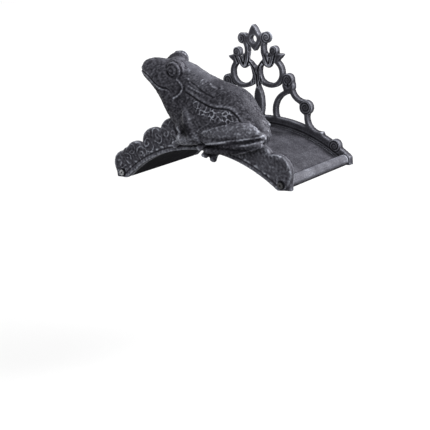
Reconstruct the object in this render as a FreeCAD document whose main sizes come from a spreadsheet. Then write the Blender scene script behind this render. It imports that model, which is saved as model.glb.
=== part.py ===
import FreeCAD, Part
import os
import re

sizes = {
    "reach": 146,            # wall to the face of the front plate
    "half_span": 120,        # inside of the arch, centre to foot
    "arch_radius": 190,      # underside of the saddle
    "saddle_wall": 6,
    "back_thick": 8,
    "front_thick": 7,
    "boss_radius": 7,        # bead along each foot of the saddle
    "boss_out": 6.5,         # bead centre beyond the inside of the foot
    "back_foot": 15,         # width of each foot beyond the inside of the arch
    "front_foot": 19,
    "screw_radius": 2,
    "screw_fit": 0.15,       # clearance round a screw
    "head_radius": 3.8,
    "head_height": 2.4,
    "socket_radius": 1.6,
    "screw_length": 18,
    "pin_length": 20,
    "overrun": 1,            # how far a drill runs past each face
    # back plate
    "band_width": 18,
    "strand_width": 6.2,
    "finial_top": 180,
    "finial_half": 17.5,
    "finial_wide": 8.5,
    "hole_height": 161,
    "hole_radius": 4.7,
    "ring_radius": 11,
    "curl_x": 16.8,
    "curl_height": 162.5,
    "curl_radius": 6.8,
    "side_curl_x": 29.5,
    "side_curl_height": 145,
    "side_curl_radius": 6.4,
    "leaf_out": 2,           # leaf middle beyond the side curl
    "leaf_lap": 1.5,         # how far the leaf runs into the side curl
    "leaf_half": 13.5,
    "leaf_wide": 4.6,
    "loop_x": 22.8,
    "loop_height": 117,
    "loop_radius": 17,
    "heart_rise": 23,        # above the loops
    "heart_radius": 12,
    "stem_drop": 5,
    "stem_half": 17,
    "stem_wide": 5,
    "eye_x": 48.5,
    "eye_height": 100,
    "eye_radius": 9,
    "side_hole_radius": 2.4,
    "eye_curl_rise": 7.6,
    "eye_curl_radius": 8.2,
    "step_x": 73,
    "step_height": 72,
    "step_radius": 9.5,
    "lobe_x": 113,
    "lobe_height": 24,
    "lobe_radius": 8.5,
    "low_leaf_height": 79,
    "low_leaf_half": 26,
    "low_leaf_wide": 7,
    # front plate
    "front_band": 24,
    "rim_width": 4,
    "relief": 1.4,           # height of rim and pads above the face
    "pad_small": 18,
    "pad_large": 21.5,
    # frog
    "frog_back": 9.6,        # middle of the frog behind the front face
    "frog_gap": 1,           # frog clear of the saddle
    "eyeball_radius": 10,
    "near_eye_back": 19.5,   # eye centre behind and above the jaw section
    "near_eye_rise": 14.5,
    "near_eye_out": 19.5,    # eye centre from the middle of the frog
    "far_eye_back": 5,
    "far_eye_rise": 23,
    "far_eye_out": 7,
    "brow_back": 2,          # mound in front of the far eye
    "brow_rise": 20,
    "brow_out": 2.5,
    "brow_long": 14,
    "brow_deep": 10,
    "brow_tall": 10,
    "limb_out": 12,          # limb centres in front of the face
    "thigh_x": 64,
    "far_thigh_x": 48,
    "thigh_drop": 11,        # below the middle of the hump
    "thigh_long": 46,
    "thigh_tall": 13,
    "thigh_deep": 14,
    "shin_x": 69,
    "shin_drop": 12.5,       # below the thigh
    "shin_long": 46,
    "shin_tall": 8.5,
    "shin_deep": 10,
    "sole_x": 66,
    "sole_in": 2,            # foot behind the limb centres
    "sole_drop": 9,          # below the shin
    "sole_long": 42,
    "sole_tall": 5.5,
    "sole_deep": 8,
    "digit_in": 5,
    "toe_long": 17,
    "toe_radius": 2.8,
    "finger_long": 15,
}


def tabled(fields, rows):
    for name, values in rows.items():
        for field, value in zip(fields, values):
            sizes[name + "_" + field] = value
    return list(rows)


# curved strands of the back plate: centre beyond and below what it hangs from, and middle radius
strands = tabled(("out", "drop", "radius"), {
    "side_strand": (15.6, 14.5, 19.5),
    "step_strand": (23.5, 2, 19.5),
    "foot_strand": (20, 14, 20),
    "wide_strand": (2, 34, 26),
})
# lily pads along the front plate, and the two that stand on its feet
pads = tabled(("x", "height"), {
    "wing_left": (-98, 31.5),
    "crown_left": (-64, 47),
    "frog_left": (-32, 60),
    "crown_right": (64, 48),
    "wing_right": (97, 37),
})
end_pads = tabled(("x",), {"end_left": (-122,), "end_right": (120,)})
small_pads = ("end_left", "wing_left", "wing_right")
# frog sections from snout to tail: half height, half width, turn towards the front
body = tabled(("x", "height", "tall", "wide", "turn"), {
    "snout": (-57, 147, 8, 7.5, 20),
    "nose": (-50, 144.5, 13.5, 12.5, 18),
    "face": (-39, 138, 18.5, 17.5, 14),
    "jaw": (-28, 129, 26, 22, 9),
    "neck": (-15, 113.5, 38, 25, 4),
    "shoulder": (5, 96.5, 42, 28, 1),
    "middle": (30, 86.5, 41, 31, 0),
    "hump": (59, 81, 37, 30, 0),
    "rump": (80, 70, 26, 23, 0),
    "vent": (97, 62, 14.5, 13, 0),
    "tail": (106, 57.5, 6, 5, 0),
})
# near arm from shoulder to hand: distance behind the limb centres, half thickness
upper_arm = tabled(("x", "in", "height", "half"), {
    "armpit": (8, 6, 103, 12.5),
    "bicep": (11, 1, 84, 13.5),
    "elbow": (14, 0, 59, 9.5),
})
# forearm, its places measured from the elbow
forearm = tabled(("out", "in", "drop", "half"), {
    "root": (9, 0, -2, 7.5),
    "forearm": (-8, 2, 1, 6.5),
    "wrist": (-30, 6, 2.5, 5.5),
})
# toes and fingers: roots measured from the sole and the wrist, and lean from upright
digits = tabled(("out", "drop"), {
    "toe_low": (-26, 1.5),
    "toe_front": (-35, 0.5),
    "finger_high": (2, -1.5),
    "finger_low": (3, 1),
})
digit_lean = {"toe_low": -153, "toe_front": -128, "finger_high": -65, "finger_low": -108}

doc = FreeCAD.newDocument("hose_hanger")
sheet = doc.addObject("Spreadsheet::Sheet", "Sizes")
for row, (name, value) in enumerate(sizes.items(), 1):
    sheet.set(f"A{row}", name)
    sheet.set(f"B{row}", str(value))
    sheet.setAlias(f"B{row}", name)
doc.recompute()

across = FreeCAD.Vector(0, 1, 0)
forward = FreeCAD.Rotation(FreeCAD.Vector(1, 0, 0), 90)
arch_z = "-sqrt(arch_radius^2 - half_span^2)"


def bound(text):
    return re.sub(r"[a-z_]\w*", lambda w: "Sizes." + w[0] if w[0] in sizes else w[0], text)


def make(kind, name, x="0", y="0", z="0", turn=None, **values):
    item = doc.addObject("Part::" + kind, name)
    if turn is not None:
        item.Placement = FreeCAD.Placement(FreeCAD.Vector(), turn)
    for key, text in values.items():
        item.setExpression(key, bound(text))
    for axis, text in zip("xyz", (x, y, z)):
        item.setExpression("Placement.Base." + axis, bound(text))
    return item


def cut(name, base, tool):
    item = doc.addObject("Part::Cut", name)
    item.Base = base
    item.Tool = tool
    return item


def fuse(name, items):
    item = doc.addObject("Part::MultiFuse", name)
    item.Shapes = items
    item.Refine = True
    return item


def common(name, items):
    item = doc.addObject("Part::MultiCommon", name)
    item.Shapes = items
    return item


def rod(name, x, y, z, radius, length):
    return make("Cylinder", name, x, y, z, forward, Radius=radius, Height=length)


def drill(name, x, y, z, radius, depth):
    return rod(name, x, f"{y} + overrun", z, radius, f"{depth} + 2*overrun")


def arch(name, y, length, inner, outer, foot):
    # ring round the arch centre, kept above and between the ends of the feet
    ring = cut(name + "_ring", rod(name + "_outer", "0", y, arch_z, outer, length),
               rod(name + "_inner", "0", y, arch_z, inner, length))
    keep = make("Box", name + "_keep", f"-half_span - {foot}", f"{y} - ({length})", "0",
                Length=f"2*(half_span + {foot})", Width=length, Height="arch_radius")
    return common(name, [ring, keep])


def both_sides(name, item):
    other = doc.addObject("Part::Mirroring", name)
    other.Source = item
    other.Normal = FreeCAD.Vector(1, 0, 0)
    return [item, other]


# back plate: discs for the curls, ring segments for the strands, lens shapes for the leaves
def disc(name, x, z, radius, start=0, sweep=360):
    turn = FreeCAD.Rotation(-across, start) * forward
    return make("Cylinder", name, x, "0", z, turn, Radius=radius, Height="back_thick", Angle=str(sweep))


def strand(name, x, z, radius, start=0, sweep=360):
    outer = disc(name + "_outer", x, z, f"{radius} + strand_width/2", start, sweep)
    inner = disc(name + "_inner", x, z, f"{radius} - strand_width/2")
    return cut(name, outer, inner)


def hung(name, support, start, sweep):
    return strand(name, f"{support}_x + {name}_out", f"{support}_height - {name}_drop", name + "_radius",
                  start, sweep)


def blade(name, x, z, turn, half, wide):
    # pointed leaf: the overlap of two large discs
    radius = f"({half}^2 + {wide}^2)/(2*{wide})"
    away = f"({radius} - {wide})"
    sides = []
    for number, sign in enumerate((1, -1)):
        step_x = f"{x} + {sign}*{away}*sin({turn})"
        step_z = f"{z} - {sign}*{away}*cos({turn})"
        sides.append(disc(f"{name}_{number}", step_x, step_z, radius))
    return common(name, sides)


leaf_z = "side_curl_height - side_curl_radius - leaf_wide + leaf_lap"
side = [
    disc("curl", "curl_x", "curl_height", "curl_radius"),
    hung("side_strand", "curl", 145, 75),
    strand("heart", "heart_radius/2", "loop_height + heart_rise", "heart_radius", -115, 125),
    disc("side_curl", "side_curl_x", "side_curl_height", "side_curl_radius"),
    blade("side_leaf", "side_curl_x + leaf_out", leaf_z, 20, "leaf_half", "leaf_wide"),
    strand("loop", "loop_x", "loop_height", "loop_radius"),
    disc("eye_curl", "eye_x", "eye_height + eye_curl_rise", "eye_curl_radius"),
    disc("eye", "eye_x", "eye_height", "eye_radius"),
    hung("step_strand", "eye", 175, 105),
    disc("step_curl", "step_x", "step_height", "step_radius"),
    hung("foot_strand", "step", 165, 115),
    disc("lobe", "lobe_x", "lobe_height", "lobe_radius"),
    hung("wide_strand", "eye", 95, 115),
]
middle = [
    disc("ring", "0", "hole_height", "ring_radius"),
    blade("finial", "0", "finial_top - finial_half", 90, "finial_half", "finial_wide"),
    blade("stem", "0", "loop_height - stem_drop", 90, "stem_half", "stem_wide"),
    blade("low_leaf", "0", "low_leaf_height", 90, "low_leaf_half", "low_leaf_wide"),
    arch("back_band", "0", "back_thick", "arch_radius", "arch_radius + band_width", "back_foot"),
]
back = fuse("back_cast", middle + both_sides("side_mirror", fuse("side_cast", side)))
holes = [drill("hole", "0", "0", "hole_height", "hole_radius", "back_thick")]
screw_x = {"right": "(half_span + boss_out)", "left": "-(half_span + boss_out)"}
for word, x in screw_x.items():
    eye_x = "eye_x" if word == "right" else "-eye_x"
    holes += [
        drill(f"side_hole_{word}", eye_x, "0", "eye_height", "side_hole_radius", "back_thick"),
        drill(f"back_hole_{word}", x, "0", "boss_radius", "screw_radius + screw_fit", "back_thick"),
    ]
back_plate = cut("back_plate", back, fuse("back_holes", holes))

# saddle
shelf_length = "reach - back_thick - front_thick"
shelf = [arch("shelf", "-back_thick", shelf_length, "arch_radius", "arch_radius + saddle_wall",
              "back_foot")]
taps = []
for word, x in screw_x.items():
    shelf.append(rod(f"boss_{word}", x, "-back_thick", "boss_radius", "boss_radius", shelf_length))
    taps.append(drill(f"tap_{word}", x, "-back_thick", "boss_radius", "screw_radius + screw_fit",
                      shelf_length))
saddle = cut("saddle", fuse("shelf_cast", shelf), fuse("taps", taps))

# front plate
face_y = "-reach + front_thick"
plate = [
    arch("front_arch", face_y, "front_thick", "arch_radius", "arch_radius + front_band", "front_foot"),
    arch("front_rim", face_y, "front_thick + relief", "arch_radius", "arch_radius + rim_width",
         "front_foot"),
]
for name in pads + end_pads:
    radius = "pad_small" if name in small_pads else "pad_large"
    height = radius if name in end_pads else name + "_height"
    plate.append(rod("pad_" + name, name + "_x", face_y, height, radius, "front_thick + relief"))
under = drill("plate_under", "0", face_y, arch_z, "arch_radius", "front_thick + relief")
plate = cut("plate", fuse("plate_cast", plate), under)

# frog: lofts through many-sided rings, plain round the body and smooth along it
frog_y = "-reach + frog_back"
limb_y = "-reach - limb_out"
far_y = "-reach + 2*frog_back + limb_out"
thigh_z = "hump_height - thigh_drop"
shin_z = f"{thigh_z} - shin_drop"
sole_z = f"{shin_z} - sole_drop"
wrist_x = "elbow_x + wrist_out"
wrist_z = "elbow_height - wrist_drop"
body_sides = 20
limb_sides = 10
eye_sides = 14


def ring(name, x, y, z, turn, sides, node):
    corners = "; ".join(f"vector({node(side*360/sides)})" for side in range(sides))
    item = make("Polygon", name, x, y, z, turn, Nodes=f"list({corners})")
    item.Close = True
    return item


def oval(tall, wide):
    return lambda angle: f"{tall}*cos({angle}); {wide}*sin({angle}); 0"


def loft(name, rings):
    item = doc.addObject("Part::Loft", name)
    item.Sections = rings
    item.Solid = True
    return item


def bulk(name, x, y, z, long, deep, tall, lean=0, sides=limb_sides):
    # rounded body, its rings spaced by angle from end to end
    rings = []
    for number, swing in enumerate((-80, -52, -24, 24, 52, 80)):
        def corner(angle):
            return (f"{long}*sin({swing}); {deep}*cos({swing})*cos({angle}); "
                    f"{tall}*cos({swing})*sin({angle})")
        rings.append(ring(f"{name}_{number}", x, y, z, FreeCAD.Rotation(across, lean), sides, corner))
    return loft(name, rings)


def limb(name, kind, x, y, z, lean=0):
    return bulk(name, x, y, z, kind + "_long", kind + "_deep", kind + "_tall", lean)


def eye(name):
    reach_y = f"{frog_y} - near_eye_out" if name == "near_eye" else f"{frog_y} + far_eye_out"
    return bulk(name, f"jaw_x + {name}_back", reach_y, f"jaw_height + {name}_rise", "eyeball_radius",
                "eyeball_radius", "eyeball_radius", 0, eye_sides)


def arm(name, stops, turn, places):
    rings = []
    for stop in stops:
        x, z = places(stop)
        rings.append(ring("ring_" + stop, x, f"{limb_y} + {stop}_in", z, turn, limb_sides,
                          oval(stop + "_half", stop + "_half")))
    return loft(name, rings)


slope = FreeCAD.Rotation(across, -67)
body_rings = []
for name in body:
    body_rings.append(ring("ring_" + name, name + "_x", f"{frog_y} - {name}_turn", name + "_height", slope,
                           body_sides, oval(name + "_tall", name + "_wide")))
frog = [
    loft("torso", body_rings),
    eye("near_eye"),
    eye("far_eye"),
    limb("far_brow", "brow", "jaw_x + brow_back", f"{frog_y} + brow_out", "jaw_height + brow_rise"),
    limb("near_thigh", "thigh", "thigh_x", limb_y, thigh_z),
    limb("far_thigh", "thigh", "far_thigh_x", far_y, thigh_z),
    limb("shin", "shin", "shin_x", limb_y, shin_z, 3),
    limb("hind_foot", "sole", "sole_x", f"{limb_y} + sole_in", sole_z, -4),
    arm("upper_arm", upper_arm, FreeCAD.Rotation(), lambda stop: (stop + "_x", stop + "_height")),
    arm("lower_arm", forearm, FreeCAD.Rotation(across, 90),
        lambda stop: (f"elbow_x + {stop}_out", f"elbow_height - {stop}_drop")),
]
for name in digits:
    kind = name.split("_")[0]
    root_x, root_z = ("sole_x", sole_z) if kind == "toe" else (wrist_x, wrist_z)
    frog.append(make("Cylinder", name, f"{root_x} + {name}_out", f"{limb_y} + digit_in",
                     f"{root_z} - {name}_drop", FreeCAD.Rotation(across, digit_lean[name]),
                     Radius="toe_radius", Height=kind + "_long"))

frog_front = fuse("frog_front_cast", [plate] + frog)
clear = rod("clear", "0", "0", arch_z, "arch_radius + saddle_wall + frog_gap", "reach - front_thick")
drills = [clear]
for word, x in screw_x.items():
    drills.append(drill(f"front_hole_{word}", x, face_y, "boss_radius", "screw_radius + screw_fit",
                        "front_thick + relief"))
frog_front_plate = cut("frog_front_plate", frog_front, fuse("drills", drills))

# screws in front, flush pins behind
screw_list = []
pin_list = []
for word, x in screw_x.items():
    head = rod(f"front_head_{word}", x, "-reach - relief", "boss_radius", "head_radius", "head_height")
    shank = rod(f"front_shank_{word}", x, "-reach - relief + screw_length", "boss_radius", "screw_radius",
                "screw_length")
    socket = make("Prism", f"front_socket_{word}", x, "-reach - relief - head_height/2", "boss_radius",
                  forward, Circumradius="socket_radius", Height="head_height")
    screw_list.append(cut(f"front_screw_{word}", fuse(f"front_blank_{word}", [head, shank]), socket))
    pin_list.append(rod(f"rear_pin_{word}", x, "0", "boss_radius", "screw_radius", "pin_length"))
front_screws = fuse("front_screws", screw_list)
rear_pins = fuse("rear_pins", pin_list)

nodes = [back_plate, saddle, frog_front_plate, front_screws, rear_pins]
for node in nodes:
    node.Label = node.Name
    node.setExpression("Placement.Base.z", bound("-hole_height"))
doc.recompute()

for item in doc.Objects:
    if "Invalid" in item.State or "Error" in item.State:
        raise RuntimeError(item.Name + " did not build")
os.makedirs("parts", exist_ok=True)
for node in nodes:
    if node.Shape.isNull() or not node.Shape.isValid():
        raise RuntimeError(node.Name + " is not a valid shape")
    print(node.Label, len(node.Shape.Solids), round(node.Shape.Volume), node.Shape.BoundBox)
    node.Shape.exportStep("parts/" + node.Label + ".step")
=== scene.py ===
import math
import bpy
import numpy as np
from mathutils import Matrix, Vector


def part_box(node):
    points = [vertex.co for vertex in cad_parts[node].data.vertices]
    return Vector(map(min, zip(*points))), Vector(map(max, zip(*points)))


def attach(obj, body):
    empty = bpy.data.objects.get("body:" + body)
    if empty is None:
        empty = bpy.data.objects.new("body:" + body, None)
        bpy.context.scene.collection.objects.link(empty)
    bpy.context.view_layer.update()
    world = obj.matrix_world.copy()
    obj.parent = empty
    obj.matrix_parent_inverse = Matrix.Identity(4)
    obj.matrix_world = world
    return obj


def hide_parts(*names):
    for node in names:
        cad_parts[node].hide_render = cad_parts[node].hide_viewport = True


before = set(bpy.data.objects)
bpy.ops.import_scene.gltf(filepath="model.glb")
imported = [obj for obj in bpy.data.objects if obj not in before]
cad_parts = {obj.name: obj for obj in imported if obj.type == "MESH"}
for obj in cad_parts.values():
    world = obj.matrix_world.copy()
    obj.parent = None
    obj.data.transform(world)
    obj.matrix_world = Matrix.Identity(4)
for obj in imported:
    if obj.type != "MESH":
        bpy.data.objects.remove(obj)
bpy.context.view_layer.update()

mm = 0.001
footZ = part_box("saddle")[0].z / mm  # bench heights are measured from the feet
rootBody = "root"
fullTurn = 2 * math.pi
veryFar = 1e9
verySmall = 1e-6
white = (1, 1, 1, 1)
plainWash = 0.4  # the wash runs from 0 in dark hollows to 1 on brushed edges, with painted shade and painted highlights added to it
ball = {"pole": 88, "rings": 30, "sides": 40}
pipe = {"steps": 24, "sides": 20, "steep": 0.9}
lumpy = {"waves": 28, "spread": (0.7, 1.5)}
lineSteps = 5


def toBench(rows):
    return rows / mm - np.array([0, 0, footZ])


def toRow(rows):
    return (rows + np.array([0, 0, footZ])) * mm


# mesh helpers
def meshRows(mesh):
    rows = np.empty(len(mesh.vertices) * 3)
    mesh.vertices.foreach_get("co", rows)
    mesh.calc_loop_triangles()
    tris = np.empty(len(mesh.loop_triangles) * 3, dtype=np.int64)
    mesh.loop_triangles.foreach_get("vertices", tris)
    return toBench(rows.reshape(-1, 3)), tris.reshape(-1, 3)


def edgeRows(mesh):
    rows = np.empty(len(mesh.edges) * 2, dtype=np.int64)
    mesh.edges.foreach_get("vertices", rows)
    return rows.reshape(-1, 2)


def normalRows(mesh):
    rows = np.empty(len(mesh.vertices) * 3)
    mesh.vertices.foreach_get("normal", rows)
    return rows.reshape(-1, 3)


def setRows(mesh, rows):
    mesh.vertices.foreach_set("co", toRow(rows).ravel())
    mesh.update()


def newObject(name, data):
    piece = bpy.data.objects.new(name, data)
    bpy.context.scene.collection.objects.link(piece)
    return piece


def joined(shells):
    rows, tris, count = [], [], 0
    for shellRows, shellTris in shells:
        rows.append(shellRows)
        tris.append(shellTris + count)
        count += len(shellRows)
    return np.vstack(rows), np.vstack(tris)


def remeshed(name, shells, voxel):
    rows, tris = joined(shells)
    mesh = bpy.data.meshes.new(name + "Source")
    mesh.from_pydata(toRow(rows).tolist(), [], tris.tolist())
    source = newObject(name + "Source", mesh)
    modifier = source.modifiers.new("remesh", "REMESH")
    modifier.mode = "VOXEL"
    modifier.voxel_size = voxel * mm
    skin = source.evaluated_get(bpy.context.evaluated_depsgraph_get())
    piece = newObject(name, bpy.data.meshes.new_from_object(skin))
    bpy.data.objects.remove(source)
    piece.data.name = name
    piece.data.materials.clear()
    piece.data.shade_smooth()
    return piece


def meanRows(rows, edges):
    count = len(rows)
    first, second = edges[:, 0], edges[:, 1]
    uses = np.bincount(edges.ravel(), minlength=count)
    sums = [np.bincount(first, column[second], count) + np.bincount(second, column[first], count)
            for column in rows.T]
    return np.stack(sums, 1) / np.maximum(uses, 1)[:, None]


def smoothed(rows, edges, passes, share=0.5):
    for number in range(passes):
        rows = rows + (meanRows(rows, edges) - rows) * share
    return rows


def keepInside(rows, node):
    low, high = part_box(node)
    lowRow = toBench(np.array([low[:]]))[0]
    highRow = toBench(np.array([high[:]]))[0]
    return np.clip(rows, lowRow, highRow)


def setWashAndPaintedLight(mesh, values):
    layer = mesh.attributes.new("washAndPaintedLight", "FLOAT", "POINT")
    layer.data.foreach_set("value", values)


def addWashAndPaintedLight(mesh, washAndPaintedLight, paint):
    rows = meshRows(mesh)[0]
    edges = edgeRows(mesh)
    normals = normalRows(mesh)
    # how far a point stands proud, and how sharp the edge is there
    lift = ((rows - smoothed(rows, edges, washAndPaintedLight["reach"])) * normals).sum(1)
    crest = ((rows - meanRows(rows, edges)) * normals).sum(1)
    # the paint holds brushing and wear, and also painted shade and painted highlights
    value = plainWash + lift / washAndPaintedLight["liftScale"] + crest / washAndPaintedLight["edgeScale"] + paint
    value = smoothed(value[:, None], edges, 1)[:, 0]
    setWashAndPaintedLight(mesh, np.clip(value, 0, 1))


# shells that are fused by the remesh
def quadTris(rings, count):
    tris = []
    for row in range(rings - 1):
        for column in range(count):
            a, b = row * count + column, row * count + (column + 1) % count
            tris += [(a, b, b + count), (a, b + count, a + count)]
    return tris


def skinOf(rings):
    count = len(rings[0])
    rows = np.vstack(list(rings) + [rings[0].mean(0)[None], rings[-1].mean(0)[None]])
    tris = quadTris(len(rings), count)
    firstCap = len(rings) * count
    lastCap = firstCap + 1
    last = firstCap - count
    for column in range(count):
        after = (column + 1) % count
        tris += [(firstCap, after, column), (lastCap, last + column, last + after)]
    return rows, np.array(tris)


def ellipsoid(centre, radii, lean=0):
    tilt = math.radians(lean)
    around = np.linspace(0, fullTurn, ball["sides"], endpoint=False)
    rings = []
    for step in np.linspace(-ball["pole"], ball["pole"], ball["rings"]):
        along = math.sin(math.radians(step)) * radii[0]
        scale = math.cos(math.radians(step))
        flat = np.stack([np.full(ball["sides"], along), radii[1] * scale * np.cos(around),
                         radii[2] * scale * np.sin(around)], 1)
        turned = flat.copy()
        turned[:, 0] = flat[:, 0] * math.cos(tilt) + flat[:, 2] * math.sin(tilt)
        turned[:, 2] = flat[:, 2] * math.cos(tilt) - flat[:, 0] * math.sin(tilt)
        rings.append(turned + np.array(centre))
    return skinOf(rings)


def curveRows(points, steps):
    # a smooth curve through the points
    points = np.array(points, float)
    places = np.linspace(0, len(points) - 1, steps)
    index = np.minimum(places.astype(int), len(points) - 2)
    t = (places - index)[:, None]
    before = points[np.maximum(index - 1, 0)]
    start = points[index]
    end = points[index + 1]
    after = points[np.minimum(index + 2, len(points) - 1)]
    bend = 2 * before - 5 * start + 4 * end - after
    twist = 3 * start - before - 3 * end + after
    return 0.5 * (2 * start + (end - before) * t + bend * t ** 2 + twist * t ** 3)


def tube(points, steps=pipe["steps"]):
    # points hold x, y, z and radius
    path = curveRows(points, steps)
    ways = np.gradient(path[:, :3], axis=0)
    around = np.linspace(0, fullTurn, pipe["sides"], endpoint=False)[:, None]
    rings = []
    for place, way in zip(path, ways):
        way = way / np.linalg.norm(way)
        side = np.cross(way, (0, 1, 0) if abs(way[1]) < pipe["steep"] else (0, 0, 1))
        side /= np.linalg.norm(side)
        other = np.cross(way, side)
        ring = np.cos(around) * side + np.sin(around) * other
        rings.append(place[:3] + place[3] * ring)
    return skinOf(rings)


# carving helpers
def ridge(distance, width):
    return np.exp(-(distance / width) ** 2)


def fade(value, start, length):
    # grows from 0 at the start to 1, upwards, or downwards where the length is negative
    return np.clip((value - start) / length, 0, 1)


def ringSum(distance, rings):
    # each ring has a radius, a width and a lift
    return sum(lift * ridge(distance - radius, width) for radius, width, lift in rings)


def lineDistance(rows, line):
    line = curveRows(line, len(line) * lineSteps)
    best = np.full(len(rows), veryFar)
    for start, end in zip(line[:-1], line[1:]):
        way = end - start
        t = np.clip(((rows - start) @ way) / (way @ way), 0, 1)
        best = np.minimum(best, np.linalg.norm(rows - start - t[:, None] * way, axis=1))
    return best


def lumps(rows, size, seed):
    chance = np.random.default_rng(seed)
    waves = lumpy["waves"]
    ways = chance.normal(size=(waves, 3))
    spread = chance.uniform(*lumpy["spread"], waves)
    ways *= (fullTurn / size / spread / np.linalg.norm(ways, axis=1))[:, None]
    starts = chance.uniform(0, fullTurn, waves)
    return np.cos(rows @ ways.T + starts).sum(1) * math.sqrt(2 / waves)  # about -2 to 2


def lumpPair(rows, size, seeds):
    return np.stack([lumps(rows, size, seed) for seed in seeds], 1)


def spiral(rows, centre, pitch, hand, start=0):
    # distance to the centre, and to the line between two turns
    away = rows - np.array(centre)
    radius = np.linalg.norm(away, axis=1)
    phase = radius / pitch - hand * np.arctan2(away[:, 1], away[:, 0]) / fullTurn + start
    return radius, np.abs(phase - np.floor(phase) - 0.5) * pitch


# materials
def link(tree, source, output, target, field):
    tree.links.new(source.outputs[output], target.inputs[field])


def newMaterial(name):
    material = bpy.data.materials.new(name)
    material.use_nodes = True
    tree = material.node_tree
    return material, tree, tree.nodes["Principled BSDF"]


def noiseNode(tree, where, scale, detail):
    node = tree.nodes.new("ShaderNodeTexNoise")
    node.inputs["Scale"].default_value = scale
    node.inputs["Detail"].default_value = detail
    link(tree, where, "Object", node, "Vector")
    return node


def washAndPaintedLightNode(tree):
    node = tree.nodes.new("ShaderNodeAttribute")
    node.attribute_name = "washAndPaintedLight"
    return node


def mathNode(tree, operation, *values):
    node = tree.nodes.new("ShaderNodeMath")
    node.operation = operation
    for field, value in enumerate(values):
        if isinstance(value, (int, float)):
            node.inputs[field].default_value = value
        else:
            tree.links.new(value, node.inputs[field])
    return node


def rampNode(tree, value, stops):
    node = tree.nodes.new("ShaderNodeValToRGB")
    tree.links.new(value, node.inputs["Fac"])
    ramp = node.color_ramp
    while len(ramp.elements) < len(stops):
        ramp.elements.new(0.5)
    for element, (place, colour) in zip(ramp.elements, stops):
        element.position = place
        element.color = (*colour, 1)
    return node


def castMaterial():
    look = {
        # the ramp runs from recess and field to worn and brushed metal, and also turns painted shade
        # dark and painted highlights light
        "ramp": ((0.1, (0.0075, 0.0075, 0.009)), (0.4, (0.0245, 0.0241, 0.0295)),
                 (0.64, (0.062, 0.0625, 0.075)), (1.0, (0.27, 0.282, 0.325))),
        "sandScale": 620,
        "sandDetail": 3,
        "sandShare": 0.44,
        "patchScale": 70,
        "patchDetail": 4,
        "patchShare": 0.36,
        "metallic": 0.1,
        "roughness": 0.65,
        "sheenShare": 0.4,
        "sheenStart": -0.12,
        "bumpStrength": 0.65,
        "bumpDistance": 0.0007,
    }
    material, tree, shader = newMaterial("castMetal")
    where = tree.nodes.new("ShaderNodeTexCoord")
    sand = noiseNode(tree, where, look["sandScale"], look["sandDetail"])
    patch = noiseNode(tree, where, look["patchScale"], look["patchDetail"])
    mixed = washAndPaintedLightNode(tree).outputs["Fac"]
    for noise, share in ((sand, look["sandShare"]), (patch, look["patchShare"])):
        uneven = mathNode(tree, "MULTIPLY_ADD", noise.outputs["Fac"], share, -share / 2)
        mixed = mathNode(tree, "ADD", mixed, uneven.outputs["Value"]).outputs["Value"]
    ramp = rampNode(tree, mixed, look["ramp"])
    link(tree, ramp, "Color", shader, "Base Color")
    shader.inputs["Metallic"].default_value = look["metallic"]
    shader.inputs["Roughness"].default_value = look["roughness"]
    # only worn metal has a sheen
    sheen = mathNode(tree, "MULTIPLY_ADD", mixed, look["sheenShare"], look["sheenStart"])
    sheen.use_clamp = True
    link(tree, sheen, "Value", shader, "Specular IOR Level")
    bump = tree.nodes.new("ShaderNodeBump")
    bump.inputs["Strength"].default_value = look["bumpStrength"]
    bump.inputs["Distance"].default_value = look["bumpDistance"]
    link(tree, sand, "Fac", bump, "Height")
    link(tree, bump, "Normal", shader, "Normal")
    return material


def fixingMaterial():
    look = {
        # the ramp runs from the painted shade of the socket to plain dull metal and the painted
        # highlight of the lit screw
        "ramp": ((0.08, (0.006, 0.006, 0.007)), (0.3, (0.05, 0.05, 0.053)),
                 (0.65, (0.4, 0.408, 0.42))),
        "wearScale": 500,
        "wearDetail": 3,
        "metallic": 0.5,
        "roughness": 0.45,
    }
    material, tree, shader = newMaterial("fixings")
    where = tree.nodes.new("ShaderNodeTexCoord")
    wear = noiseNode(tree, where, look["wearScale"], look["wearDetail"])
    mixed = mathNode(tree, "MULTIPLY", wear.outputs["Fac"], washAndPaintedLightNode(tree).outputs["Fac"])
    ramp = rampNode(tree, mixed.outputs["Value"], look["ramp"])
    link(tree, ramp, "Color", shader, "Base Color")
    shader.inputs["Metallic"].default_value = look["metallic"]
    shader.inputs["Roughness"].default_value = look["roughness"]
    return material


def seenRays(tree):
    # 1 for rays that show the background: from the camera, off metal or through glass
    path = tree.nodes.new("ShaderNodeLightPath")
    seen = mathNode(tree, "MAXIMUM", path.outputs["Is Camera Ray"], path.outputs["Is Glossy Ray"])
    return mathNode(tree, "MAXIMUM", seen.outputs["Value"], path.outputs["Is Transmission Ray"])


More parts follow.
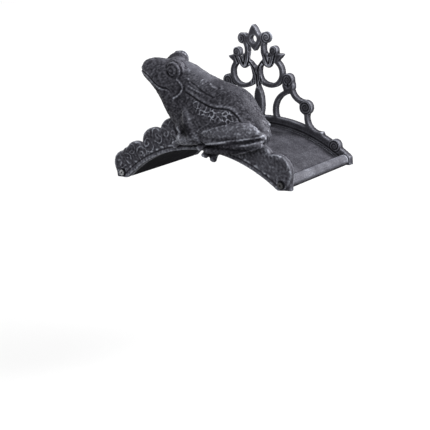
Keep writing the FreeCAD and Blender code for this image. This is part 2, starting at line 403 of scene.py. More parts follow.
def floorMaterial():
    look = {
        "ramp": ((0, (0.12, 0.12, 0.12)), (1, (0.14, 0.14, 0.14))),
        "cloudScale": 2,
        "cloudDetail": 1,
        "roughness": 0.9,
        # the lamps whiten the middle, so the glow is less there
        "glowNear": 0.74,
        "glowMore": 0.26,
        "near": 0.4,
        "spread": 1.8,
    }
    material, tree, shader = newMaterial("paleFloor")
    where = tree.nodes.new("ShaderNodeTexCoord")
    cloud = noiseNode(tree, where, look["cloudScale"], look["cloudDetail"])
    ramp = rampNode(tree, cloud.outputs["Fac"], look["ramp"])
    link(tree, ramp, "Color", shader, "Base Color")
    shader.inputs["Roughness"].default_value = look["roughness"]
    shader.inputs["Emission Color"].default_value = white
    reach = tree.nodes.new("ShaderNodeVectorMath")
    reach.operation = "LENGTH"
    link(tree, where, "Object", reach, 0)
    away = mathNode(tree, "SUBTRACT", reach.outputs["Value"], look["near"])
    away = mathNode(tree, "DIVIDE", away.outputs["Value"], look["spread"])
    away.use_clamp = True
    glow = mathNode(tree, "MULTIPLY_ADD", away.outputs["Value"], look["glowMore"], look["glowNear"])
    glow = mathNode(tree, "MULTIPLY", glow.outputs["Value"], seenRays(tree).outputs["Value"])
    link(tree, glow, "Value", shader, "Emission Strength")
    return material


castMetal = castMaterial()
fixings = fixingMaterial()
print("materials made")


def settle(piece, node, material):
    piece.data.materials.append(material)
    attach(piece, rootBody)
    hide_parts(node)
    print(piece.name, len(piece.data.polygons), "faces")


# frog and front plate
frog = {
    "voxel": 0.92,
    "smoothPasses": 7,
    "settleShare": 0.35,
    "washAndPaintedLight": {"reach": 14, "liftScale": 1.9, "edgeScale": 0.7},
    # x, height, half height, half width and turn of each body section
    "body": [(-57, 147, 8, 7.5, 20), (-50, 144.5, 13.5, 12.5, 18), (-39, 138, 18.5, 17.5, 14),
             (-28, 129, 26, 22, 9), (-15, 113.5, 38, 25, 4), (5, 96.5, 42, 28, 1),
             (30, 86.5, 41, 31, 0), (59, 81, 37, 30, 0), (80, 70, 26, 23, 0),
             (97, 62, 14.5, 13, 0), (106, 57.5, 6, 5, 0)],
    "middle": -136.4,
    "tilt": math.radians(23),
    "swell": 0.35,
    "bodySteps": 121,
    "bodySides": 72,
    # centre, radii and lean
    "limbs": {
        "thigh": ((64, -158, 70), (46, 14, 13), 0),
        "shin": ((69, -160.5, 57), (46, 10.6, 8.6), 3),
        "foot": ((66, -158.5, 48.5), (42, 9.5, 6), -4),
        "farThigh": ((48, -114.8, 70), (46, 14, 13), 0),
        "brow": ((-24.5, -133.9, 149), (14.5, 10, 10.5), 0),
        "crown": ((-17, -142, 146.5), (12, 13, 10), 0),
        "toeWeb": ((33, -152.5, 43), (9, 3.8, 6), -40),
    },
    # x, y, height and radius along each
    "digits": {
        "lowToe": [(48, -153, 48, 5.2), (40, -153.5, 43, 4.4), (35, -153, 36, 4.1),
                   (33, -152.5, 32.5, 4.8)],
        "middleToe": [(42, -153, 49, 5), (31, -153.5, 45.5, 4.2), (24, -153, 40, 3.9),
                      (21, -152.5, 37.5, 4.6)],
        "highToe": [(40, -153, 52, 5), (27, -153.5, 51, 4), (17, -153, 48, 3.8),
                    (13, -152.5, 46.5, 4.4)],
        "forearm": [(16, -155, 61, 9), (5, -156.5, 59, 8.4), (-7, -155.5, 57.5, 7.6),
                    (-16, -153, 57, 6.4)],
        "thumb": [(-10, -152, 60, 5), (-13, -152.5, 66, 4.6), (-15.5, -152.5, 71, 4.3),
                  (-17, -152, 75, 4.6)],
        "highFinger": [(-8, -152, 58, 5.2), (-17, -152, 60, 3.9), (-24, -152, 63, 3.4),
                       (-28, -152, 65, 4.2)],
        "lowFinger": [(-8, -152, 56, 5.2), (-16, -152, 54, 3.9), (-24, -152, 50, 3.4),
                      (-28, -152, 48, 4.2)],
        "heel": [(84, -162, 68, 10), (96, -158, 66, 8.8), (105, -151, 62.5, 6.8),
                 (109, -145, 60, 4.6)],
    },
    # centre of each eye and the way it looks
    "eyes": {
        "near": ((-8.5, -155.9, 143.5), (0.02, -0.97, -0.16)),
        "far": ((-23, -129.4, 152), (-0.3, 0.8, 0.5)),
    },
    "eyeRadius": 10.8,
    "eyeLid": 1.5,
    "eyeSoft": 1,
    # angle from the way it looks, width in degrees, lift and brushing
    "eyeRings": [(94, 12, 0.5, 0), (76, 7, -0.6, 0), (60, 6, 0.2, 0.05), (44, 6, -0.45, 0),
                 (30, 6, 0, 0.08), (17, 5, -0.4, 0), (0, 7, 0, 0.06)],
    "eyeHollow": -0.5,
    "hollowFade": (60, -40),
    "eyePale": 0.04,
    "paleFade": (90, -30),
    # joins that are drawn into soft hollows: line, width, share and the depth they lie before
    "joins": [("thighTop", 6.5, 1, -148), ("thighEnd", 4.5, 0.8, -150)],
    "browJoin": {"centre": (-26, -133.9, 149), "radius": 11, "flat": 1, "width": 3, "share": 0.75},
    "heelJoin": {"radius": 8, "width": 4, "share": 0.8},
    "joinPasses": 30,
    "joinShare": 0.6,
    # where marks count
    "skinShare": 1.01,
    "skinThick": 0.05,
    "sideFade": (6, 6),
    "jawFade": (-8, -10),
    "foldFade": (7, 5),
    "limbFade": (-150, -3),
    "legStart": 23,
    # lines seen on the body, as x and height
    "lines": {
        "mouth": [(-60, 145), (-52, 141.5), (-44, 137), (-38, 131), (-31, 125.5), (-24, 122),
                  (-17, 121), (-12, 117), (-7, 112)],
        "backRidge": [(5, 124), (10, 119), (20, 114), (30, 109), (50, 101.5), (64, 100), (73, 98),
                      (80, 91), (86, 83), (95, 77)],
        "backLine": [(11, 129), (20, 124), (26, 120), (38, 114), (50, 110)],
        "nape": [(-12, 151), (5, 146), (27, 132)],
        "earFold": [(-4, 131), (2, 126), (4.5, 120.5), (2.5, 115.5), (-2, 112), (-8, 109.5)],
        "lowWrinkle": [(37, 124), (42, 121), (48, 119)],
        "highWrinkle": [(45, 126), (50, 122), (54, 118)],
        "neckWrinkle": [(10, 131), (13, 127)],
        "longWrinkle": [(12, 123), (20, 119), (30, 115)],
        "groin": [(24, 70), (34, 76), (44, 80)],
        "thighFold": [(29, 68), (48, 74), (64, 78), (71, 79)],
        "ankle": [(80, 54), (97, 57), (110, 59)],
        "footEdge": [(48, 40), (68, 42), (95, 49), (107, 52.5)],
        "thighTop": [(24, 68), (39, 76), (52, 81), (63, 83), (78, 84), (93, 81), (106, 75)],
        "thighEdge": [(36, 55.5), (62, 59), (76, 61.5), (96, 63.5), (110, 65)],
        "thighEnd": [(23, 72), (22, 66), (25, 60), (34, 57)],
        "thighMiddle": [(40, 66), (70, 71), (100, 73)],
        "elbowGap": [(9, 97), (15, 89), (20, 80), (22, 71), (21, 62)],
        "armShade": [(-5, 68), (4, 71), (12, 72)],
        "hand": [(-32, 56), (-10, 55), (9, 57)],
        "thumb": [(-11, 62), (-13, 67), (-15, 74)],
        "toes": [(13, 46), (22, 38), (33, 33)],
    },
    "shifted": {"underRidge": ("backRidge", (-0.7, -2.6)), "underThigh": ("thighEdge", (0, -3.6))},
    # line, where it counts, width, lift and brushing; the brushing is a painted highlight on the
    # hand, thumb and toes, and a painted shade on armShade
    "strokes": [
        ("mouth", "jaw", 0.9, -1.0, 0),
        ("backRidge", "behindFold", 2.0, 0.6, 0),
        ("backRidge", "behindFold", 0.9, 0, 0.1),
        ("underRidge", "behindFold", 0.8, -0.8, -0.1),
        ("backLine", "sides", 0.8, -0.6, 0),
        ("nape", "skin", 11, 0, 0.14),
        ("earFold", "sides", 1.3, 0.9, 0.1),
        ("lowWrinkle", "sides", 1.0, 0.5, 0.12),
        ("highWrinkle", "sides", 1.0, 0.5, 0.12),
        ("neckWrinkle", "sides", 1.0, 0.5, 0.12),
        ("longWrinkle", "sides", 1.0, 0.5, 0.12),
        ("groin", "leg", 1.1, 0.45, 0),
        ("thighFold", "leg", 1.1, 0.45, 0),
        ("ankle", "leg", 1.1, 0.45, 0),
        ("footEdge", "leg", 1.1, 0.45, 0.15),
        ("thighEdge", "leg", 1.2, 0.7, 0.1),
        ("underThigh", "leg", 1.6, -0.6, 0),
        ("underThigh", "leg", 2, 0, -0.1),
        ("elbowGap", "limb", 5.5, 0, 0.22),
        # armShade: painted shade between the chest and the forearm
        ("armShade", "limb", 5.5, 0, -0.2),
        # hand, thumb and toes: painted highlights
        ("hand", "limb", 6, 0, 0.22),
        ("thumb", "limb", 3, 0, 0.35),
        ("toes", "limb", 4, 0, 0.2),
        ("thighMiddle", "leg", 10, 0, 0.2),
    ],
    "lip": {"drop": 2, "width": 1, "fade": (-12, -8), "lift": 0.35, "paint": 0.1},
    "nostril": (-44, 10.6, 150),
    "rosette": (28, 127),
    "rump": [(108, -139, 63), (105, -141, 56), (105, -142, 69), (101, -147, 62), (98, -149, 72)],
    # radius, width and lift of the rings round each of these
    "nostrilRings": [(2.8, 1, 0.15), (0, 1.5, -0.6)],
    "rosetteRings": [(2.6, 1.2, 0.5), (0, 1, 0.3)],
    "rumpRings": [(0, 2.4, 0.6)],
    "shinShade": {"fade": (58, -4), "paint": -0.16},
    "elbowShade": {"fade": (62, 4), "start": -30, "paint": -0.1},
    "chalk": {"heelPoint": 2, "reach": 11, "size": 8, "seed": 13, "fade": (-1, 2), "paint": 0.2},
    "scales": {
        "dropFade": (3.5, 2),
        "lowFade": (20, -4),
        "headFade": (10, 18),
        "rumpFade": (84, -12),
        "least": 0.02,
        "girth": 34,
        "apart": 300,  # keeps the two flanks from sharing cells
        "wanderSize": 9,
        "wanderSeeds": (4, 5),
        "wander": 0.7,
        "patchSize": 16,
        "patchSeed": 3,
        "patchLevel": 0.8,
        "patchShare": 0.25,
        "patchLeast": 0.5,
        "spacing": 6.0,
        "seed": 7,
        "jitter": 0.36,
        "width": 0.9,
        "under": 0.9,
        "underLeast": 0.6,
        "lift": 1.0,
        "paint": 0.42,
        "ground": 0.06,
    },
    # size, seed and lift of the sand-cast lumps
    "lumps": [(9, 1, 0.16), (4, 2, 0.1)],
    "proud": 0.8,
    "plateBack": -138,
}
plate = {
    "archZ": -math.sqrt(190 ** 2 - 120 ** 2),  # from the radius of the arch and its half span
    "rim": 194.6,
    "face": -147.4,
    "faceTurn": -0.55,
    "faceNear": 1.1,
    # x, height, radius and carving strength of each pad
    "pads": [(-122, 18, 18, 0.8), (-98, 31.5, 18, 1), (-64, 47, 21.5, 1), (-32, 60, 21.5, 0.7),
             (64, 48, 21.5, 0.3), (97, 37, 18, 0.3), (120, 21.5, 21.5, 0.35)],
    "padSeed": 11,
    "firstTurn": (0, 6),
    "curls": 3,
    "curlSpread": 0.56,
    "pitch": 7.2,
    "lineWidth": 0.95,
    "lineLift": 0.75,
    "ground": -0.1,
    "warp": 0.8,
    "warpSize": 11,
    "warpSeeds": (8, 9),
    "worn": {"size": 14, "seed": 10, "level": 0.75, "share": 0.4, "least": 0.15},
    "innerFade": (1.2, 0.8),
    "groove": [(0.8, 0.9, -0.6)],  # height over the rim, width and lift
    "chips": {"size": 7, "seed": 12, "most": 1.5, "rings": [(3, 1.6, 1)], "lift": 0.2, "paint": 0.17},
    "lumps": (5, 6, 0.12),  # size, seed and lift
    "pale": 0.11,
    "screw": (126.5, 7),
    "seat": {"reach": 4.6, "width": 0.8, "lift": -0.5, "paint": -0.35},
    # the notch between the two left pads is part filled
    "fill": {"x": -110.5, "height": 25.5, "radius": 16.5, "depths": (-139.4, -143, -147.2)},
}
upWay = np.array([math.sin(frog["tilt"]), 0, math.cos(frog["tilt"])])
alongWay = np.array([math.cos(frog["tilt"]), 0, -math.sin(frog["tilt"])])
bodyPath = curveRows(frog["body"], frog["bodySteps"])
bodyAlong = bodyPath[:, 0] * alongWay[0] + bodyPath[:, 1] * alongWay[2]
frogLines = {name: np.array(points, float) for name, points in frog["lines"].items()}
for shiftName, (sourceName, shift) in frog["shifted"].items():
    frogLines[shiftName] = frogLines[sourceName] + np.array(shift)


def torsoShell():
    around = np.linspace(0, fullTurn, frog["bodySides"], endpoint=False)[:, None]
    swell = frog["swell"]
    rings = []
    for x, height, tall, wide, turn in bodyPath:
        centre = np.array([x, frog["middle"] - turn, height])
        rings.append(centre + (tall + swell) * np.cos(around) * upWay
                     + (wide + swell) * np.sin(around) * np.array([0, 1, 0]))
    return skinOf(rings)


def bodyPlace(rows):
    # distance along the body, angle round it from the back, share of the body radius, and side
    along = rows @ alongWay
    columns = [np.interp(along, bodyAlong, column) for column in bodyPath.T]
    x, height, tall, wide, turn = columns
    up = (rows[:, 0] - x) * upWay[0] + (rows[:, 2] - height) * upWay[2]
    out = rows[:, 1] - (frog["middle"] - turn)
    share = np.hypot(up / tall, out / wide)
    return along, np.arctan2(np.abs(out / wide), up / tall), share, out


def frogZones(rows, share, out):
    # how much each mark counts at each point
    x, depth = rows[:, 0], rows[:, 1]
    thick = frog["skinThick"]
    skin = ridge(np.maximum(np.abs(share - frog["skinShare"]) - thick, 0), thick)
    sides = skin * fade(np.abs(out), *frog["sideFade"])
    limb = fade(depth, *frog["limbFade"])
    return {
        "skin": skin,
        "sides": sides,
        "jaw": skin * fade(x, *frog["jawFade"]),
        "behindFold": sides * fade(x, *frog["foldFade"]),
        "limb": limb,
        "leg": limb * (x > frog["legStart"]),
    }


def eyeMarks(rows, centre, look):
    look = np.array(look) / np.linalg.norm(look)
    away = rows - np.array(centre)
    distance = np.linalg.norm(away, axis=1)
    facing = away @ look / np.maximum(distance, verySmall)
    angle = np.degrees(np.arccos(np.clip(facing, -1, 1)))
    lift = frog["eyeHollow"] * fade(angle, *frog["hollowFade"])
    paint = frog["eyePale"] * fade(angle, *frog["paleFade"])
    for place, width, height, brushing in frog["eyeRings"]:
        ring = ridge(angle - place, width)
        lift += height * ring
        paint += brushing * ring
    near = ridge(np.maximum(distance - frog["eyeRadius"] - frog["eyeLid"], 0), frog["eyeSoft"])
    return lift * near, paint * near


def cellLines(spots, scales):
    # the lines between cells that are scattered on a grid
    spacing = scales["spacing"]
    chance = np.random.default_rng(scales["seed"])
    low, high = spots.min(0), spots.max(0)
    across = np.arange(low[0] - spacing, high[0] + spacing, spacing)
    down = np.arange(low[1] - spacing, high[1] + spacing, spacing)
    grid = np.stack(np.meshgrid(across, down), -1).reshape(-1, 2)
    grid = grid + chance.uniform(-scales["jitter"], scales["jitter"], grid.shape) * spacing
    gaps = np.linalg.norm(spots[:, None] - grid[None], axis=2)
    under = (spots[:, 1] - grid[gaps.argmin(1), 1]) / spacing * 2 + scales["under"]
    nearest = np.partition(gaps, 1, axis=1)
    fuller = np.clip(under, scales["underLeast"], 1)  # a line is fuller under its cell
    return ridge(nearest[:, 1] - nearest[:, 0], scales["width"]) * fuller


def flankScales(rows, along, angle, out, sides):
    scales = frog["scales"]
    x = rows[:, 0]
    back = frogLines["backRidge"]
    drop = np.interp(x, back[:, 0], back[:, 1]) - rows[:, 2]
    band = fade(drop, *scales["dropFade"]) * fade(drop, *scales["lowFade"])
    band *= fade(x, *scales["headFade"]) * fade(x, *scales["rumpFade"]) * sides
    near = np.where(band > scales["least"])[0]
    nearRows = rows[near]
    far = scales["apart"] * (out[near] > 0)
    spots = np.stack([along[near] + far, angle[near] * scales["girth"]], 1)
    wander = lumpPair(nearRows, scales["wanderSize"], scales["wanderSeeds"])
    spots = spots + wander * scales["wander"]
    patchy = scales["patchShare"] * lumps(nearRows, scales["patchSize"], scales["patchSeed"])
    uneven = np.clip(scales["patchLevel"] + patchy, scales["patchLeast"], 1)
    lines = band[near] * uneven * cellLines(spots, scales)
    lift = np.zeros(len(rows))
    paint = np.zeros(len(rows))
    lift[near] = scales["lift"] * lines
    paint[near] = scales["paint"] * lines + scales["ground"] * band[near]
    return lift, paint


def carveFrog(rows):
    x, depth, height = rows.T
    flat = rows[:, [0, 2]]
    along, angle, share, out = bodyPlace(rows)
    zones = frogZones(rows, share, out)
    lift, paint = flankScales(rows, along, angle, out, zones["sides"])
    for name, zone, width, rise, brushing in frog["strokes"]:
        mark = zones[zone] * ridge(lineDistance(flat, frogLines[name]), width)
        lift += rise * mark
        paint += brushing * mark
    lip = frog["lip"]
    mouth = frogLines["mouth"]
    lipMark = ridge(lineDistance(flat, mouth) - lip["drop"], lip["width"])
    lipMark *= height < np.interp(x, mouth[:, 0], mouth[:, 1])
    lipMark *= zones["skin"] * fade(x, *lip["fade"])
    lift += lip["lift"] * lipMark
    paint += lip["paint"] * lipMark
    nose = np.stack([x, np.abs(out), height], 1) - np.array(frog["nostril"])
    lift += ringSum(np.linalg.norm(nose, axis=1), frog["nostrilRings"])
    rosette = np.linalg.norm(flat - np.array(frog["rosette"]), axis=1)
    lift += zones["sides"] * ringSum(rosette, frog["rosetteRings"])
    for spot in frog["rump"]:
        lift += ringSum(np.linalg.norm(rows - np.array(spot), axis=1), frog["rumpRings"])
    shin = frog["shinShade"]
    paint += shin["paint"] * zones["leg"] * fade(height, *shin["fade"])
    elbow = frog["elbowShade"]
    arm = zones["limb"] * (1 - zones["leg"]) * (1 - zones["skin"]) * (x > elbow["start"])
    paint += elbow["paint"] * arm * fade(height, *elbow["fade"])
    chalk = frog["chalk"]
    heel = np.array(frog["digits"]["heel"][chalk["heelPoint"]][:3])
    dust = ridge(np.linalg.norm(rows - heel, axis=1), chalk["reach"])
    dust *= fade(lumps(rows, chalk["size"], chalk["seed"]), *chalk["fade"])
    paint += chalk["paint"] * dust
    offPlate = (depth < plate["face"] - frog["proud"]) | (depth > frog["plateBack"])
    for size, seed, rise in frog["lumps"]:
        lift += np.where(offPlate, rise * lumps(rows, size, seed), 0)
    return lift, paint


def padCurls(rows):
    # three curls on each pad, with lines that wander and are worn in places
    chance = np.random.default_rng(plate["padSeed"])
    warped = rows[:, [0, 2]] + lumpPair(rows, plate["warpSize"], plate["warpSeeds"]) * plate["warp"]
    worn = plate["worn"]
    wear = worn["level"] + worn["share"] * lumps(rows, worn["size"], worn["seed"])
    wear = np.clip(wear, worn["least"], 1)
    nearest = np.full(len(rows), veryFar)
    carved = np.zeros(len(rows))
    for x, height, size, strength in plate["pads"]:
        spread = size * plate["curlSpread"]
        firstTurn = chance.uniform(*plate["firstTurn"])
        for turn in np.arange(plate["curls"]) * fullTurn / plate["curls"] + firstTurn:
            centre = (x + spread * math.cos(turn), height + spread * math.sin(turn))
            hand = chance.choice((-1, 1))
            start = chance.uniform(0, 1)
            away, turns = spiral(warped, centre, plate["pitch"], hand, start)
            line = plate["lineLift"] * ridge(turns, plate["lineWidth"]) * wear
            value = strength * (line + plate["ground"])
            carved = np.where((away < nearest) & (away < size), value, carved)
            nearest = np.minimum(nearest, away)
    return carved


def carvePlate(rows, normals):
    x, depth, height = rows.T
    onFace = normals[:, 1] < plate["faceTurn"]
    onFace &= np.abs(depth - plate["face"]) < plate["faceNear"]
    edge = np.hypot(x, height - plate["archZ"]) - plate["rim"]
    chips = plate["chips"]
    chipped = np.clip(lumps(rows, chips["size"], chips["seed"]), 0, chips["most"])
    chipped *= ringSum(edge, chips["rings"])
    size, seed, rise = plate["lumps"]
    lift = padCurls(rows) * fade(edge, *plate["innerFade"]) + rise * lumps(rows, size, seed)
    lift += chips["lift"] * chipped + ringSum(edge, plate["groove"])
    seat = plate["seat"]
    screw = np.hypot(np.abs(x) - plate["screw"][0], height - plate["screw"][1])
    sunk = ridge(np.maximum(screw - seat["reach"], 0), seat["width"])
    lift = lift * (1 - sunk) + seat["lift"] * sunk
    paint = plate["pale"] + chips["paint"] * chipped + seat["paint"] * sunk
    return np.where(onFace, lift, 0), np.where(onFace, paint, 0)


def softenJoins(rows, edges):
    flat = rows[:, [0, 2]]
    shares = []
    for name, width, share, depth in frog["joins"]:
        mark = ridge(lineDistance(flat, frogLines[name]), width)
        shares.append(share * mark * (rows[:, 1] < depth))
    brow = frog["browJoin"]
    away = np.abs(np.linalg.norm(rows - np.array(brow["centre"]), axis=1) - brow["radius"])
    shares.append(brow["share"] * ridge(np.maximum(away - brow["flat"], 0), brow["width"]))
    heel = frog["heelJoin"]
    away = lineDistance(rows, np.array(frog["digits"]["heel"])[:, :3]) - heel["radius"]
    shares.append(heel["share"] * ridge(np.maximum(away, 0), heel["width"]))
    crease = np.max(shares, axis=0)[:, None]
    return smoothed(rows, edges, frog["joinPasses"], frog["joinShare"] * crease)


def frogPiece():
    shells = [meshRows(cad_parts["frog_front_plate"].data), torsoShell()]
    shells += [ellipsoid(*limb) for limb in frog["limbs"].values()]
    shells += [ellipsoid(centre, (frog["eyeRadius"],) * 3) for centre, look in frog["eyes"].values()]
    shells += [tube(digit) for digit in frog["digits"].values()]
    fill = plate["fill"]
    shells.append(tube([(fill["x"], depth, fill["height"], fill["radius"])
                        for depth in fill["depths"]]))
    piece = remeshed("frogFrontPlate", shells, frog["voxel"])
    mesh = piece.data
    edges = edgeRows(mesh)
    rows = smoothed(meshRows(mesh)[0], edges, frog["smoothPasses"])
    rows = softenJoins(rows, edges)
    setRows(mesh, rows)
    normals = normalRows(mesh)
    marks = [carveFrog(rows), carvePlate(rows, normals)]
    marks += [eyeMarks(rows, centre, look) for centre, look in frog["eyes"].values()]
    lift = sum(mark[0] for mark in marks)
    paint = sum(mark[1] for mark in marks)
    rows = smoothed(rows + normals * lift[:, None], edges, 1, frog["settleShare"])
    setRows(mesh, keepInside(rows, "frog_front_plate"))
    addWashAndPaintedLight(mesh, frog["washAndPaintedLight"], paint)
    settle(piece, "frog_front_plate", castMetal)


# back plate
scroll = {
    "voxel": 0.72,
    "smoothPasses": 12,
    "settleShare": 0.3,
    "washAndPaintedLight": {"reach": 10, "liftScale": 1.15, "edgeScale": 0.3},
    "flatFade": (-2.2, 1.4),  # the wall side stays flat and full
    "frontFade": (0.3, 0.3),
    # x, height and radius of each curl on the right
    "curls": [(20.5, 162.5, 7.6), (29.5, 145, 6.4), (48.5, 107.6, 8.2), (73, 72, 9.5),
              (113, 24, 8.5)],
    "pitch": 3.4,
    "curlRim": 1,
    "curlFade": -1.2,
    "turnWidth": 0.75,
    "turnLift": -0.42,
    "button": [(0, 1.6, 0.8)],  # radius, width and lift, as for the strand, crown and band line
    "topBall": (20.5, -4.2, 162.5),
    "topBallRadii": (7.8, 3.7, 7.8),
    # strands that pass over others on the right, as x and height, with their half width
    "hook": [(11.5, 145), (12.8, 139), (14.3, 133), (16.8, 128), (20, 125.8), (23.6, 128),
             (26, 134), (28.5, 140)],
    "stem": [(3.4, 102), (3.6, 111), (5.2, 118), (8.5, 124), (11.5, 128)],
    "hookSteps": 40,
    "overWide": 3.3,
    "overMiddle": -4.6,
    "overFade": (141, -5),
    "underFade": 1.5,
    "strand": [(0, 2, 0.5)],
    "grooveWidth": 1.1,
    "grooveLift": -1.6,
    # painted shade in the groove beside a strand that passes over another
    "paintedGrooveShade": -0.22,
    "ground": -0.02,
    # painted highlight: the plate is painted lighter towards its top
    "topFade": (135, 30),
    "paintedTopLight": 0.13,
    "wallFade": (-3, 2),
    "wallPaint": -0.3,  # the wall side is never brushed
    "crown": [(0, 1.1, 0.7)],
    "crownFade": (168, 3),
    "bandLine": [(199, 1.2, -0.5)],
    "bandTop": 62,
    # the web between the loops is drawn in, and its top is cut to a point
    "stemShare": 0.26,
    "stemFade": (20, -9),
    "stemLow": (92, 10),
    "stemHigh": (136, -8),
    "notchDeep": 8,
    "notchFade": (9, -9),
    "notchLow": (108, 18),
    "notchHigh": (140, -8),
}


def shapeStem(rows):
    across, height = np.abs(rows[:, 0]), rows[:, 2]
    tall = fade(height, *scroll["stemLow"]) * fade(height, *scroll["stemHigh"])
    narrow = scroll["stemShare"] * fade(across, *scroll["stemFade"]) * tall
    drop = fade(height, *scroll["notchLow"]) * fade(height, *scroll["notchHigh"])
    point = scroll["notchDeep"] * fade(across, *scroll["notchFade"]) * drop
    return np.stack([rows[:, 0] * (1 - narrow), rows[:, 1], height - point], 1)


def carveScroll(rows, normals):
    x, depth, height = rows.T
    front = fade(-normals[:, 1], *scroll["frontFade"])
    lift = np.zeros(len(rows))
    for curlX, curlHeight, size in scroll["curls"]:
        for side in (1, -1):
            away, turns = spiral(rows[:, [0, 2]], (side * curlX, curlHeight), scroll["pitch"], side)
            inside = fade(away, size + scroll["curlRim"], scroll["curlFade"])
            cut = scroll["turnLift"] * ridge(turns, scroll["turnWidth"])
            lift += inside * (cut + ringSum(away, scroll["button"]))
    # painted highlight: lighter towards the top of the plate
    paint = scroll["ground"] + scroll["paintedTopLight"] * fade(height, *scroll["topFade"])
    paint += scroll["wallPaint"] * fade(depth, *scroll["wallFade"])
    mirrored = np.stack([np.abs(x), height], 1)
    hookAway = lineDistance(mirrored, scroll["hook"])
    stemAway = lineDistance(mirrored, scroll["stem"])
    under = fade(hookAway, scroll["overWide"], scroll["underFade"])  # the stem goes under the hook
    for away, shown in ((hookAway, 1), (stemAway, under)):
        groove = ridge(away - scroll["overWide"], scroll["grooveWidth"]) * shown
        groove *= fade(height, *scroll["overFade"])
        lift += ringSum(away, scroll["strand"]) + scroll["grooveLift"] * groove
        # painted shade: the groove beside a strand that passes over another is painted darker
        paint += scroll["paintedGrooveShade"] * front * groove
    lift += ringSum(x, scroll["crown"]) * fade(height, *scroll["crownFade"])
    radius = np.hypot(x, height - plate["archZ"])
    lift += ringSum(radius, scroll["bandLine"]) * (height < scroll["bandTop"])
    return lift * front, paint


def backPiece():
    shells = [meshRows(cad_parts["back_plate"].data)]
    ballX, ballDepth, ballHeight = scroll["topBall"]
    for side in (1, -1):
        shells.append(ellipsoid((side * ballX, ballDepth, ballHeight), scroll["topBallRadii"]))
        hook = [(side * x, scroll["overMiddle"], height, scroll["overWide"])
                for x, height in scroll["hook"]]
        shells.append(tube(hook, scroll["hookSteps"]))
    piece = remeshed("backPlate", shells, scroll["voxel"])
    mesh = piece.data
    edges = edgeRows(mesh)
    start = meshRows(mesh)[0]
    rows = smoothed(start, edges, scroll["smoothPasses"])
    behind = fade(start[:, 1], *scroll["flatFade"])[:, None]
    rows = shapeStem(start * behind + rows * (1 - behind))
    setRows(mesh, rows)
    normals = normalRows(mesh)
    lift, paint = carveScroll(rows, normals)
    rows = smoothed(rows + normals * lift[:, None], edges, 1, scroll["settleShare"])
    setRows(mesh, keepInside(rows, "back_plate"))
    addWashAndPaintedLight(mesh, scroll["washAndPaintedLight"], paint)
    settle(piece, "back_plate", castMetal)


# saddle
shelf = {
    "voxel": 1.3,
    "smoothPasses": 2,
    "washAndPaintedLight": {"reach": 8, "liftScale": 1.6, "edgeScale": 0.5},
    "underside": -0.3,  # painted shade: the faces that look down are painted darker
}


def saddlePiece():
    piece = remeshed("saddleArch", [meshRows(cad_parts["saddle"].data)], shelf["voxel"])
    mesh = piece.data
    rows = smoothed(meshRows(mesh)[0], edgeRows(mesh), shelf["smoothPasses"])
    setRows(mesh, keepInside(rows, "saddle"))
    # painted shade on the faces that look down
    under = np.clip(-normalRows(mesh)[:, 2], 0, 1)
    addWashAndPaintedLight(mesh, shelf["washAndPaintedLight"], shelf["underside"] * under)
    settle(piece, "saddle", castMetal)


# screws and pins
bright = {"bevel": 0.35, "segments": 2, "socketDeep": 1.2, "plainShare": 0.4}


def fixingPiece(name, node, socketDeep=0):
    piece = newObject(name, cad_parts[node].data.copy())
    mesh = piece.data
    mesh.materials.clear()
    rows = meshRows(mesh)[0]
    washAndPaintedLight = np.full(len(rows), bright["plainShare"])
    if socketDeep:
        washAndPaintedLight[rows[:, 0] < 0] = 1  # painted highlight: the left screw is the lit one, so it is painted brighter
        # painted shade: the socket and all that lies more than socketDeep behind the front of the
        # heads is painted dark
        washAndPaintedLight *= 1 - fade(rows[:, 1], rows[:, 1].min(), socketDeep)
    setWashAndPaintedLight(mesh, washAndPaintedLight)
    modifier = piece.modifiers.new("bevel", "BEVEL")
    modifier.width = bright["bevel"] * mm
    modifier.segments = bright["segments"]
    modifier.limit_method = "ANGLE"
    settle(piece, node, fixings)


frogPiece()
backPiece()
saddlePiece()
fixingPiece("frontScrews", "front_screws", bright["socketDeep"])
fixingPiece("rearPins", "rear_pins")
print("pieces made")

# camera, solved from the photograph
shot = {
    "azimuth": math.radians(39.86),
    "elevation": math.radians(14.6),
    "roll": math.radians(-5.46),
    "distance": 1200,
    "shiftRight": 21.12,
    "shiftUp": -38.76,
    "aim": (0, -146, -161),
    "focalPixels": 970.8,
    "imagePixels": 430,
    "sensor": 36,
    "clipNear": 0.05,
    "clipFar": 50,
}


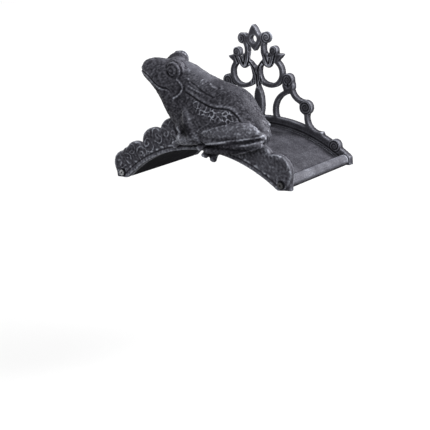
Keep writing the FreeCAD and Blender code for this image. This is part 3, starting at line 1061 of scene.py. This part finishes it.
def addCamera():
    az, el, roll = shot["azimuth"], shot["elevation"], shot["roll"]
    back = Vector((math.sin(az) * math.cos(el), -math.cos(az) * math.cos(el), math.sin(el)))
    level = Vector((math.cos(az), math.sin(az), 0))
    rise = Vector((-math.sin(az) * math.sin(el), math.cos(az) * math.sin(el), math.cos(el)))
    right = level * math.cos(roll) + rise * math.sin(roll)
    up = rise * math.cos(roll) - level * math.sin(roll)
    place = (Vector(shot["aim"]) + back * shot["distance"] + right * shot["shiftRight"]
             + up * shot["shiftUp"])
    data = bpy.data.cameras.new("photoCamera")
    data.sensor_width = shot["sensor"]
    data.lens = shot["focalPixels"] / shot["imagePixels"] * shot["sensor"]
    data.clip_start = shot["clipNear"]
    data.clip_end = shot["clipFar"]
    camera = newObject("photoCamera", data)
    turn = Matrix((right, up, back)).transposed()
    camera.matrix_world = Matrix.Translation(place * mm) @ turn.to_4x4()
    bpy.context.scene.camera = camera


# studio
studio = {
    "centre": Vector((0, -0.09, -0.09)),
    # way from the centre, distance, size and power
    "lights": {
        "key": ((0.65, 0.62, 0.55), 1.3, 0.5, 54),
        "fill": ((0.75, -1.0, 0.6), 1.5, 0.9, 23),
        "top": ((-0.2, -0.1, 1.0), 1.3, 0.8, 4),
        "rim": ((-1.0, 0.1, 0.1), 1.3, 0.5, 7),
    },
    "ambient": 0.25,
    "floorDrop": 0.19,
    "floorSize": 30,
}


def addLights():
    for name, (way, distance, size, power) in studio["lights"].items():
        data = bpy.data.lights.new(name, "AREA")
        data.energy = power
        data.size = size
        lamp = newObject(name, data)
        lamp.location = studio["centre"] + Vector(way).normalized() * distance
        aim = studio["centre"] - lamp.location
        lamp.rotation_euler = aim.to_track_quat("-Z", "Y").to_euler()


def addWorld():
    world = bpy.data.worlds.new("studio")
    bpy.context.scene.world = world
    world.use_nodes = True
    tree = world.node_tree
    backdrop = tree.nodes["Background"]
    backdrop.inputs["Color"].default_value = white
    ambient = studio["ambient"]
    seen = seenRays(tree).outputs["Value"]
    strength = mathNode(tree, "MULTIPLY_ADD", seen, 1 - ambient, ambient)
    link(tree, strength, "Value", backdrop, "Strength")


def addFloor():
    half = studio["floorSize"] / 2
    height = footZ * mm - studio["floorDrop"]
    corners = [(-half, -half, height), (half, -half, height), (half, half, height),
               (-half, half, height)]
    mesh = bpy.data.meshes.new("floor")
    mesh.from_pydata(corners, [], [(0, 1, 2, 3)])
    floor = newObject("floor", mesh)
    mesh.materials.append(floorMaterial())


addCamera()
addLights()
addWorld()
addFloor()
bpy.context.scene.view_settings.view_transform = "Standard"
print("studio made")
